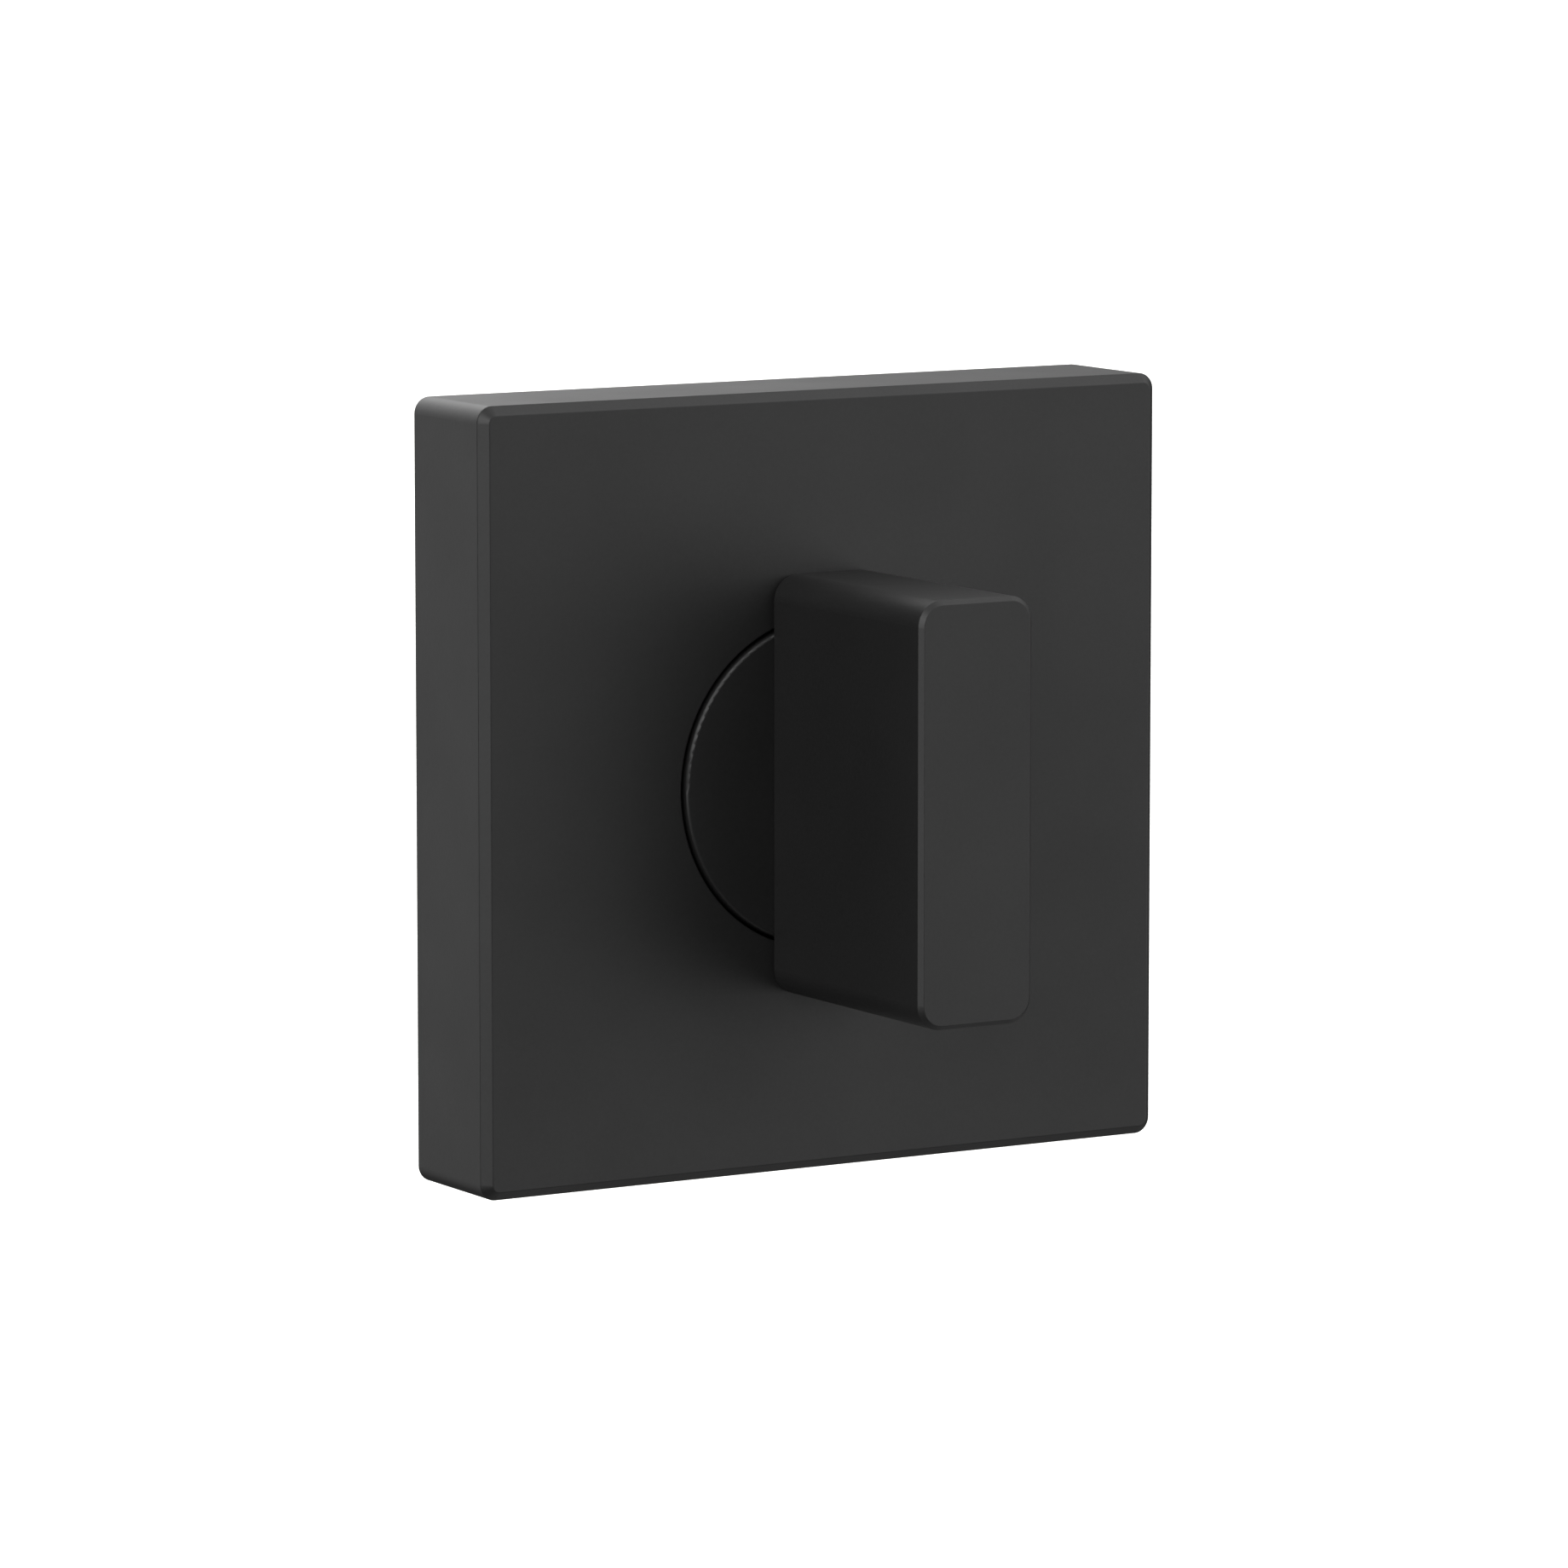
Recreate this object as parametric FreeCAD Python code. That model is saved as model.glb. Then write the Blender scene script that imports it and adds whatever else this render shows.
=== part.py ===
"""Privacy turn on a square rose: the inside half of a bathroom door's lock fittings.

Millimetres. The door's face is the plane y = 0 and the door lies on the +Y side of it. The part's
front faces -Y, +Z is up and +X is to the right of someone who faces the door. The origin is on the
door's face, on the axis of the spindle. Angles about the spindle are counted from +Z towards +X,
which is also the way the turn goes when it locks.
"""

import FreeCAD, Part
import math
import os

# Square rose, the cover that shows on the door
ROSE_WIDTH = 52.0
ROSE_HEIGHT = 52.0
ROSE_DEPTH = 9.2
COVER_FRONT_WALL = 1.8
COVER_SIDE_WALL = 1.6
COVER_CORNER = 1.1
COVER_INSIDE_CORNER = 0.8
RIM_CHAMFER = 0.6
EDGE_BREAK = 0.12
RIB_THICKNESS = 1.2
POST_RADIUS = 2.2
POST_INSET = 3.5
PRY_NOTCH_WIDTH = 8.0
PRY_NOTCH_DEPTH = 1.0

# Grip that the fingers hold
GRIP_THICKNESS = 8.6
GRIP_HEIGHT = 27.9
GRIP_LENGTH = 18.45
GRIP_EDGE_RADIUS = 1.7
GRIP_RIM_CHAMFER = 0.3
GRIP_REAR_EDGE = 0.15

# Collar: the disc that fills the rose's opening, and its neck
DISC_DIAMETER = 21.8
DISC_THICKNESS = 2.15
DISC_PROUD = 0.25
DISC_EDGE_RADIUS = 0.2
NECK_WALL_AT_CORNER = 1.3
NECK_FLAT_DEPTH = 0.9
NECK_TAIL = 6.4
COLLAR_WEB = 4.05

# Bearing of the neck in the cover's boss
BOSS_WALL = 1.8
BUSH_WALL = 1.42
BUSH_FLANGE = 0.8
BUSH_LENGTH = 3.0
SLIDE_WASHER_THICKNESS = 0.5
STOP_WASHER_THICKNESS = 1.0
WASHER_LAND = 1.2
SPRING_SHEET = 0.45
SPRING_CONE = 0.3
SPRING_BAND = 2.2
CIRCLIP_THICKNESS = 1.0
GROOVE_DEPTH = 0.33
CIRCLIP_WIDTH = 2.2
CIRCLIP_SHIFT = 0.37
CIRCLIP_GAP = 3.6
CIRCLIP_EAR_RADIUS = 1.7
CIRCLIP_EAR_HOLE = 0.8

# Stop: the washer's tab swings between the two ends of a gap in the boss
TURN_RANGE = 90.0
TAB_HALF_ANGLE = 13.0
TAB_RADIUS_INSIDE_BOSS_EDGE = 0.45
STOP_GAP_CENTRE = 180.0

# Spindle into the lock
SPINDLE_SIDE = 8.0
SPINDLE_LENGTH = 42.0
SPINDLE_CORNER = 0.3
SPINDLE_END_CHAMFER = 0.8
PIN_RADIUS = 1.5
PIN_WALL = 0.5
PIN_SLOT = 0.6
PIN_FROM_TAIL_END = 2.9

# Screws and dowels
SCREW_RADIUS = 2.0
SCREW_SHANK_RADIUS = 1.75
SCREW_HEAD_RADIUS = 3.75
SCREW_HEAD_RIM = 0.2
SCREW_END_CHAMFER = 0.5
RECESS_WING = 0.9
RECESS_DEPTH = 1.7
RECESS_TOP_RADIUS = 1.95
RECESS_BOTTOM_RADIUS = 0.7
FIXING_CENTRES = 38.0
FIXING_SCREW_LENGTH = 40.0
GRIP_SCREW_LENGTH = 12.0
GRIP_SCREW_SHANK = 2.0
GRIP_THREAD_DEPTH = 9.0
DRILL_POINT = 1.2
DOWEL_RADIUS = 1.25
DOWEL_LENGTH = 8.0
DOWEL_CENTRES = 14.0
DOWEL_IN_DISC = 1.85
DOWEL_CHAMFER = 0.3

# Base plate and what is fixed to it
PLATE_THICKNESS = 3.0
PLATE_CORNER = 1.5
PLATE_EDGE = 0.2
SLEEVE_RADIUS = 3.8
SLEEVE_REACH = 8.0
SLEEVE_FLANGE_RADIUS = 4.8
SLEEVE_FLANGE = 1.0
THREAD_BEYOND_SLEEVE = 2.0
WOOD_SCREW_HOLE = 1.8
WOOD_SCREW_SINK = 3.5
WOOD_SCREW_BESIDE = 11.5
CLIP_SHEET = 0.5
CLIP_WIDTH = 8.0
CLIP_CENTRES = 22.0
CLIP_REACH = 7.2
CLIP_BEND_INSET = 1.0
CLIP_BEND_RADIUS = 0.9
CLIP_NOSE = 0.35
CLIP_TIP_INSET = 1.0
RIVET_RADIUS = 1.0
RIVET_HEAD_RADIUS = 1.7
RIVET_HEAD = 0.6
RIVET_FLARE = 0.5
RIVET_CENTRES = 4.4
RIVET_INSET = 5.0
NOTCH_DEPTH = 0.6
NOTCH_HEIGHT = 2.4

# Clearances
DISC_GAP = 0.25
NECK_RUNNING = 0.05
AXIAL_PLAY = 0.05
WASHER_PLAY = 0.1
FLAT_PLAY = 0.05
POCKET_PLAY = 0.2
STOP_PLAY_ANGLE = 0.4
SOCKET_PLAY = 0.1
SPINDLE_END_PLAY = 0.3
SCREW_PLAY = 0.15
SINK_PLAY = 0.05
SEAT_PLAY = 0.05
PLATE_PLAY = 0.2
OPENING_PLAY = 0.55
CLIP_HEADROOM = 0.6
RIB_HEADROOM = 1.0
NOTCH_PLAY = 0.5

# Worked out from the sizes above
FRONT_Y = -ROSE_DEPTH
FRONT_INSIDE_Y = FRONT_Y + COVER_FRONT_WALL
INSIDE_X = ROSE_WIDTH / 2 - COVER_SIDE_WALL
INSIDE_Z = ROSE_HEIGHT / 2 - COVER_SIDE_WALL
PLATE_FRONT_Y = -PLATE_THICKNESS

DISC_RADIUS = DISC_DIAMETER / 2
DISC_FRONT_Y = FRONT_Y - DISC_PROUD
DISC_REAR_Y = DISC_FRONT_Y + DISC_THICKNESS
GRIP_FRONT_Y = DISC_FRONT_Y - GRIP_LENGTH
OPENING_RADIUS = DISC_RADIUS + DISC_GAP
BOSS_RADIUS = OPENING_RADIUS + BOSS_WALL

SOCKET_SIDE = SPINDLE_SIDE + SOCKET_PLAY
NECK_RADIUS = SOCKET_SIDE / math.sqrt(2) + NECK_WALL_AT_CORNER
NECK_FLAT_X = NECK_RADIUS - NECK_FLAT_DEPTH
BUSH_RADIUS = NECK_RADIUS + NECK_RUNNING + BUSH_WALL
BUSH_FRONT_Y = DISC_REAR_Y + AXIAL_PLAY
RECESS_FLOOR_Y = BUSH_FRONT_Y + BUSH_FLANGE
BUSH_REAR_Y = RECESS_FLOOR_Y + BUSH_LENGTH
STOP_WASHER_Y = BUSH_REAR_Y + SLIDE_WASHER_THICKNESS + AXIAL_PLAY
SPRING_Y = STOP_WASHER_Y + STOP_WASHER_THICKNESS
BOSS_REAR_Y = SPRING_Y + WASHER_PLAY
CIRCLIP_Y = SPRING_Y + SPRING_SHEET + SPRING_CONE
NECK_END_Y = CIRCLIP_Y + CIRCLIP_THICKNESS + NECK_TAIL
PIN_Y = NECK_END_Y - PIN_FROM_TAIL_END
WASHER_RADIUS = BUSH_RADIUS + WASHER_LAND
POCKET_RADIUS = WASHER_RADIUS + POCKET_PLAY
TAB_RADIUS = BOSS_RADIUS - TAB_RADIUS_INSIDE_BOSS_EDGE
TAB_ANGLE = STOP_GAP_CENTRE - TURN_RANGE / 2

SCREW_CONE = SCREW_HEAD_RADIUS - SCREW_SHANK_RADIUS
SOCKET_FLOOR_Y = DISC_FRONT_Y + COLLAR_WEB
GRIP_SCREW_Y = SOCKET_FLOOR_Y - SEAT_PLAY
SPINDLE_Y = SOCKET_FLOOR_Y + SPINDLE_END_PLAY
FIXING_SCREW_Y = PLATE_FRONT_Y + SEAT_PLAY
CLIP_TIP_Y = FRONT_INSIDE_Y + CLIP_HEADROOM
CLIP_NOSE_Y = (PLATE_FRONT_Y + CLIP_TIP_Y) / 2

ALONG_X = FreeCAD.Vector(1, 0, 0)
ALONG_Y = FreeCAD.Vector(0, 1, 0)
TOLERANCE = 1e-6


def point(x, y, z):
    """A point or direction."""
    return FreeCAD.Vector(x, y, z)


def block(x0, x1, y0, y1, z0, z1):
    """A box between two values on each axis."""
    return Part.makeBox(x1 - x0, y1 - y0, z1 - z0, point(x0, y0, z0))


def rod(radius, y0, y1, x=0.0, z=0.0):
    """A round bar along Y."""
    return Part.makeCylinder(radius, y1 - y0, point(x, y0, z), ALONG_Y)


def taper(radius0, radius1, y0, y1, x=0.0, z=0.0):
    """A cone frustum along Y, from one radius to the other."""
    return Part.makeCone(radius0, radius1, y1 - y0, point(x, y0, z), ALONG_Y)


def ring(outer, inner, y0, y1):
    """A flat ring about the spindle's axis."""
    return rod(outer, y0, y1).cut(rod(inner, y0, y1))


def edges_along_y(shape):
    """The straight edges of a shape that run along Y."""
    found = []
    for edge in shape.Edges:
        first, last = edge.Vertexes[0].Point, edge.Vertexes[-1].Point
        if (last - first).cross(ALONG_Y).Length < TOLERANCE and edge.Length > TOLERANCE:
            found.append(edge)
    return found


def edges_at(shape, y):
    """The edges of a shape that lie in the plane of constant y."""
    return [e for e in shape.Edges if abs(e.BoundBox.YMin - y) < 1e-4 and abs(e.BoundBox.YMax - y) < 1e-4]


def rounded_block(width, height, y0, y1, corner):
    """A block about the spindle's axis with its four edges along Y rounded."""
    whole = block(-width / 2, width / 2, y0, y1, -height / 2, height / 2)
    return whole.makeFillet(corner, edges_along_y(whole))


def around(radius, angle, y=0.0):
    """The point at a radius and an angle about the spindle's axis."""
    turned = math.radians(angle)
    return point(radius * math.sin(turned), y, radius * math.cos(turned))


def sector(radius, y0, y1, start, end):
    """A slice of a round bar between two angles about the spindle's axis."""
    arc = Part.Arc(around(radius, start, y0), around(radius, (start + end) / 2, y0), around(radius, end, y0))
    centre = point(0, y0, 0)
    sides = [
        Part.LineSegment(centre, around(radius, start, y0)).toShape(),
        arc.toShape(),
        Part.LineSegment(around(radius, end, y0), centre).toShape(),
    ]
    return Part.Face(Part.Wire(sides)).extrude(point(0, y1 - y0, 0))


def rib(x, z, inner_radius, y0, y1):
    """A straight rib from the boss out to a post."""
    reach = math.hypot(x, z)
    across = point(-z, 0, x) * (RIB_THICKNESS / 2 / reach)
    near = point(x, 0, z) * (inner_radius / reach) + point(0, y0, 0)
    far = point(x, y0, z)
    outline = [near - across, far - across, far + across, near + across, near - across]
    return Part.Face(Part.makePolygon(outline)).extrude(point(0, y1 - y0, 0))


def post_places():
    """Where the cover's four corner posts stand."""
    x = INSIDE_X - POST_INSET
    z = INSIDE_Z - POST_INSET
    return [(x, z), (-x, z), (-x, -z), (x, -z)]


def clip_places():
    """Each clip's name, its side along X and the height of its middle."""
    places = []
    for side_name, side in (("left", -1), ("right", 1)):
        for level_name, level in (("upper", 1), ("lower", -1)):
            places.append((f"cover_clip_{side_name}_{level_name}", side, level * CLIP_CENTRES / 2))
    return places


def rivet_places():
    """Where the eight rivets of the clips stand."""
    x = INSIDE_X - RIVET_INSET
    places = []
    for _, side, middle in clip_places():
        for step in (-1, 1):
            places.append((side * x, middle + step * RIVET_CENTRES / 2))
    return places


def rose_cover():
    """Die-cast cover: a shallow box with a boss that carries the turn."""
    shell = rounded_block(ROSE_WIDTH, ROSE_HEIGHT, FRONT_Y, 0, COVER_CORNER)
    shell = shell.makeChamfer(RIM_CHAMFER, edges_at(shell, FRONT_Y))
    rims = edges_at(shell, FRONT_Y) + edges_at(shell, FRONT_Y + RIM_CHAMFER) + edges_at(shell, 0)
    shell = shell.makeFillet(EDGE_BREAK, rims)
    shell = shell.cut(rounded_block(2 * INSIDE_X, 2 * INSIDE_Z, FRONT_INSIDE_Y, 0, COVER_INSIDE_CORNER))
    shell = shell.fuse(rod(BOSS_RADIUS, FRONT_INSIDE_Y, BOSS_REAR_Y))
    rib_start = OPENING_RADIUS + BOSS_WALL / 2
    for x, z in post_places():
        shell = shell.fuse(rod(POST_RADIUS, FRONT_INSIDE_Y, PLATE_FRONT_Y, x, z))
        shell = shell.fuse(rib(x, z, rib_start, FRONT_INSIDE_Y, PLATE_FRONT_Y - RIB_HEADROOM))
    shell = shell.removeSplitter()
    shell = shell.cut(rod(OPENING_RADIUS, FRONT_Y, RECESS_FLOOR_Y))
    opening_edge = [e for e in edges_at(shell, FRONT_Y) if e.BoundBox.XMax < BOSS_RADIUS]
    shell = shell.makeFillet(EDGE_BREAK, opening_edge)
    shell = shell.cut(rod(BUSH_RADIUS, RECESS_FLOOR_Y, BOSS_REAR_Y))
    shell = shell.cut(rod(POCKET_RADIUS, BUSH_REAR_Y, BOSS_REAR_Y))
    swept = TURN_RANGE / 2 + TAB_HALF_ANGLE + STOP_PLAY_ANGLE
    first = STOP_GAP_CENTRE - swept
    last = STOP_GAP_CENTRE + swept
    shell = shell.cut(sector(BOSS_RADIUS + OPENING_PLAY, BUSH_REAR_Y, BOSS_REAR_Y, first, last))
    for _, side, middle in clip_places():
        half = CLIP_WIDTH / 2 + NOTCH_PLAY
        inner = INSIDE_X - NOTCH_DEPTH
        outer = INSIDE_X + NOTCH_DEPTH
        x0, x1 = sorted((side * inner, side * outer))
        y0 = CLIP_NOSE_Y - NOTCH_HEIGHT / 2
        shell = shell.cut(block(x0, x1, y0, y0 + NOTCH_HEIGHT, middle - half, middle + half))
    half_pry = PRY_NOTCH_WIDTH / 2
    pry = block(-half_pry, half_pry, -PRY_NOTCH_DEPTH, 0, -ROSE_HEIGHT / 2, -INSIDE_Z)
    return shell.cut(pry)


def base_plate():
    """Steel plate behind the cover, with the holes for all that is fixed in it."""
    width = 2 * (INSIDE_X - PLATE_PLAY)
    height = 2 * (INSIDE_Z - PLATE_PLAY)
    plate = rounded_block(width, height, PLATE_FRONT_Y, 0, PLATE_CORNER)
    plate = plate.cut(rod(BOSS_RADIUS + OPENING_PLAY, PLATE_FRONT_Y, 0))
    plate = plate.makeFillet(PLATE_EDGE, edges_at(plate, 0) + edges_at(plate, PLATE_FRONT_Y))
    for level in (-1, 1):
        z = level * FIXING_CENTRES / 2
        plate = plate.cut(rod(SLEEVE_RADIUS, PLATE_FRONT_Y, 0, 0, z))
        plate = plate.cut(rod(SLEEVE_FLANGE_RADIUS, PLATE_FRONT_Y, PLATE_FRONT_Y + SLEEVE_FLANGE, 0, z))
        for side in (-1, 1):
            x = side * WOOD_SCREW_BESIDE
            sink_end = PLATE_FRONT_Y + WOOD_SCREW_SINK - WOOD_SCREW_HOLE
            plate = plate.cut(rod(WOOD_SCREW_HOLE, PLATE_FRONT_Y, 0, x, z))
            plate = plate.cut(taper(WOOD_SCREW_SINK, WOOD_SCREW_HOLE, PLATE_FRONT_Y, sink_end, x, z))
    for x, z in rivet_places():
        plate = plate.cut(rod(RIVET_RADIUS, PLATE_FRONT_Y, 0, x, z))
        plate = plate.cut(taper(RIVET_RADIUS, RIVET_RADIUS + RIVET_FLARE, -RIVET_FLARE, 0, x, z))
    return plate


def screw_sink(y, x=0.0, z=0.0):
    """The countersunk hole for a screw whose head is flush at y and which points along +Y."""
    rim_radius = SCREW_HEAD_RADIUS + SINK_PLAY
    hole_radius = SCREW_RADIUS + SCREW_PLAY
    cone_y = y + SCREW_HEAD_RIM
    cone_end = cone_y + rim_radius - hole_radius
    rim = rod(rim_radius, y - SEAT_PLAY, cone_y, x, z)
    return rim.fuse(taper(rim_radius, hole_radius, cone_y, cone_end, x, z))


def faced_forward(shape, y):
    """Turns a shape that points along +Y from y = 0 to point along -Y from a given y."""
    return shape.rotated(point(0, 0, 0), ALONG_X, 180).translated(point(0, y, 0))


def support_sleeve(level):
    """Flanged steel sleeve round a fixing screw, it reaches into the door and takes the side load."""
    z = level * FIXING_CENTRES / 2
    sleeve = rod(SLEEVE_FLANGE_RADIUS, PLATE_FRONT_Y, PLATE_FRONT_Y + SLEEVE_FLANGE, 0, z)
    sleeve = sleeve.fuse(rod(SLEEVE_RADIUS, PLATE_FRONT_Y, SLEEVE_REACH, 0, z)).removeSplitter()
    sleeve = sleeve.makeChamfer(SCREW_END_CHAMFER, edges_at(sleeve, SLEEVE_REACH))
    sleeve = sleeve.cut(rod(SCREW_RADIUS + SCREW_PLAY, PLATE_FRONT_Y, SLEEVE_REACH, 0, z))
    return sleeve.cut(screw_sink(FIXING_SCREW_Y, 0, z))


def countersunk_screw(length, thread_start):
    """M4 countersunk screw along +Y, its head flush at y = 0, with a cross recess."""
    cone_end = SCREW_HEAD_RIM + SCREW_CONE
    screw = rod(SCREW_HEAD_RADIUS, 0, SCREW_HEAD_RIM)
    screw = screw.fuse(taper(SCREW_HEAD_RADIUS, SCREW_SHANK_RADIUS, SCREW_HEAD_RIM, cone_end))
    screw = screw.fuse(rod(SCREW_SHANK_RADIUS, cone_end, thread_start))
    thread = rod(SCREW_RADIUS, thread_start, length)
    thread = thread.makeChamfer(SCREW_END_CHAMFER, edges_at(thread, length))
    screw = screw.fuse(thread).removeSplitter()
    half_wing = RECESS_WING / 2
    reach = RECESS_TOP_RADIUS
    wings = block(-reach, reach, 0, RECESS_DEPTH, -half_wing, half_wing)
    wings = wings.fuse(block(-half_wing, half_wing, 0, RECESS_DEPTH, -reach, reach))
    return screw.cut(wings.common(taper(RECESS_TOP_RADIUS, RECESS_BOTTOM_RADIUS, 0, RECESS_DEPTH)))


def fixing_screws():
    """The two bolt-through screws that hold the base plate to the door."""
    thread_start = SLEEVE_REACH + THREAD_BEYOND_SLEEVE - FIXING_SCREW_Y
    screws = []
    for level in (-1, 1):
        screw = countersunk_screw(FIXING_SCREW_LENGTH, thread_start)
        screw.translate(point(0, FIXING_SCREW_Y, level * FIXING_CENTRES / 2))
        screws.append(screw)
    return Part.makeCompound(screws)


def bent_path(corners, radius):
    """A wire through corners in the XY plane, with each inner corner rounded by an arc."""
    pieces = []
    start = corners[0]
    for before, corner, after in zip(corners, corners[1:], corners[2:]):
        inward = (before - corner).normalize()
        outward = (after - corner).normalize()
        half = inward.getAngle(outward) / 2
        set_back = radius / math.tan(half)
        middle = corner + (inward + outward).normalize() * (radius / math.sin(half) - radius)
        arc_start = corner + inward * set_back
        arc_end = corner + outward * set_back
        pieces.append(Part.LineSegment(start, arc_start).toShape())
        pieces.append(Part.Arc(arc_start, middle, arc_end).toShape())
        start = arc_end
    pieces.append(Part.LineSegment(start, corners[-1]).toShape())
    return Part.Wire(pieces)


def cover_clip(side, middle):
    """Bent spring strip: a foot on the plate and a leg whose nose snaps into the cover's notch."""
    z = middle - CLIP_WIDTH / 2
    outer_face = [
        point(CLIP_REACH - INSIDE_X, PLATE_FRONT_Y, z),
        point(CLIP_BEND_INSET - INSIDE_X, PLATE_FRONT_Y, z),
        point(-INSIDE_X - CLIP_NOSE, CLIP_NOSE_Y, z),
        point(CLIP_TIP_INSET - INSIDE_X, CLIP_TIP_Y, z),
    ]
    section = bent_path(outer_face, CLIP_BEND_RADIUS).makeOffset2D(-CLIP_SHEET, fill=True, openResult=True)
    clip = section.extrude(point(0, 0, CLIP_WIDTH))
    if side > 0:
        clip = clip.mirror(point(0, 0, 0), ALONG_X)
    for x, rivet_z in rivet_places():
        clip = clip.cut(rod(RIVET_RADIUS, PLATE_FRONT_Y - CLIP_SHEET, PLATE_FRONT_Y, x, rivet_z))
    return clip


def clip_rivets():
    """Rivets through the clips' feet, flared flush with the plate's back."""
    seat_y = PLATE_FRONT_Y - CLIP_SHEET
    rivets = []
    for x, z in rivet_places():
        head = rod(RIVET_HEAD_RADIUS, seat_y - RIVET_HEAD, seat_y, x, z)
        head = head.makeFillet(RIVET_HEAD / 2, edges_at(head, seat_y - RIVET_HEAD))
        flare = taper(RIVET_RADIUS, RIVET_RADIUS + RIVET_FLARE, -RIVET_FLARE, 0, x, z)
        rivets.append(head.fuse([rod(RIVET_RADIUS, seat_y, -RIVET_FLARE, x, z), flare]).removeSplitter())
    return Part.makeCompound(rivets)


def bearing_bush():
    """Flanged plastic bush pressed in the boss, the neck turns in it."""
    bush = rod(BUSH_RADIUS, RECESS_FLOOR_Y, BUSH_REAR_Y)
    bush = bush.fuse(rod(DISC_RADIUS - DISC_GAP, BUSH_FRONT_Y, RECESS_FLOOR_Y)).removeSplitter()
    return bush.cut(rod(NECK_RADIUS + NECK_RUNNING, BUSH_FRONT_Y, BUSH_REAR_Y))


def slide_washer():
    """Plastic washer between the boss and the stop washer."""
    rear = BUSH_REAR_Y + SLIDE_WASHER_THICKNESS
    return ring(WASHER_RADIUS - WASHER_PLAY, NECK_RADIUS + WASHER_PLAY, BUSH_REAR_Y, rear)


def turn_collar():
    """Disc in the rose's opening and, behind it, the neck with the spindle's square socket."""
    disc = rod(DISC_RADIUS, DISC_FRONT_Y, DISC_REAR_Y)
    disc = disc.makeFillet(DISC_EDGE_RADIUS, edges_at(disc, DISC_FRONT_Y))
    neck = rod(NECK_RADIUS, DISC_REAR_Y, NECK_END_Y)
    neck = neck.makeChamfer(SCREW_END_CHAMFER, edges_at(neck, NECK_END_Y))
    collar = disc.fuse(neck)
    for side in (-1, 1):
        x0, x1 = sorted((side * NECK_FLAT_X, side * (NECK_RADIUS + NECK_FLAT_DEPTH)))
        collar = collar.cut(block(x0, x1, STOP_WASHER_Y, NECK_END_Y, -NECK_RADIUS, NECK_RADIUS))
    groove_end = CIRCLIP_Y + CIRCLIP_THICKNESS + WASHER_PLAY
    groove_floor = NECK_RADIUS - GROOVE_DEPTH
    collar = collar.cut(ring(NECK_RADIUS + NECK_FLAT_DEPTH, groove_floor, CIRCLIP_Y, groove_end))
    half_socket = SOCKET_SIDE / 2
    socket = block(-half_socket, half_socket, SOCKET_FLOOR_Y, NECK_END_Y, -half_socket, half_socket)
    collar = collar.cut(socket)
    collar = collar.cut(rod(SCREW_RADIUS + SCREW_PLAY, DISC_FRONT_Y, SOCKET_FLOOR_Y))
    collar = collar.cut(faced_forward(screw_sink(0), GRIP_SCREW_Y))
    for level in (-1, 1):
        dowel_end = DISC_FRONT_Y + DOWEL_IN_DISC
        collar = collar.cut(rod(DOWEL_RADIUS, DISC_FRONT_Y, dowel_end, 0, level * DOWEL_CENTRES / 2))
    pin_hole = Part.makeCylinder(PIN_RADIUS, 4 * NECK_RADIUS, point(-2 * NECK_RADIUS, PIN_Y, 0), ALONG_X)
    return collar.cut(pin_hole)


def turn_grip():
    """Rectangular bar that the fingers turn, it stands on the disc and overhangs it up and down."""
    grip = rounded_block(GRIP_THICKNESS, GRIP_HEIGHT, GRIP_FRONT_Y, DISC_FRONT_Y, GRIP_EDGE_RADIUS)
    grip = grip.makeChamfer(GRIP_RIM_CHAMFER, edges_at(grip, GRIP_FRONT_Y))
    grip = grip.makeFillet(GRIP_REAR_EDGE, edges_at(grip, DISC_FRONT_Y))
    rim = edges_at(grip, GRIP_FRONT_Y) + edges_at(grip, GRIP_FRONT_Y + GRIP_RIM_CHAMFER)
    grip = grip.makeFillet(EDGE_BREAK / 2, rim)
    thread_floor = DISC_FRONT_Y - GRIP_THREAD_DEPTH
    grip = grip.cut(rod(SCREW_RADIUS, thread_floor, DISC_FRONT_Y))
    grip = grip.cut(taper(0, SCREW_RADIUS, thread_floor - DRILL_POINT, thread_floor))
    dowel_floor = DISC_FRONT_Y + DOWEL_IN_DISC - DOWEL_LENGTH - WASHER_PLAY
    for level in (-1, 1):
        grip = grip.cut(rod(DOWEL_RADIUS, dowel_floor, DISC_FRONT_Y, 0, level * DOWEL_CENTRES / 2))
    return grip


def grip_screw():
    """M4 countersunk screw from the bottom of the socket into the grip."""
    screw = countersunk_screw(GRIP_SCREW_LENGTH, SCREW_HEAD_RIM + SCREW_CONE + GRIP_SCREW_SHANK)
    return faced_forward(screw, GRIP_SCREW_Y)


def grip_dowels():
    """Two dowels that key the grip to the disc."""
    dowels = []
    rear = DISC_FRONT_Y + DOWEL_IN_DISC
    front = rear - DOWEL_LENGTH
    for level in (-1, 1):
        dowel = rod(DOWEL_RADIUS, front, rear, 0, level * DOWEL_CENTRES / 2)
        dowels.append(dowel.makeChamfer(DOWEL_CHAMFER, edges_at(dowel, front) + edges_at(dowel, rear)))
    return Part.makeCompound(dowels)


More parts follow.
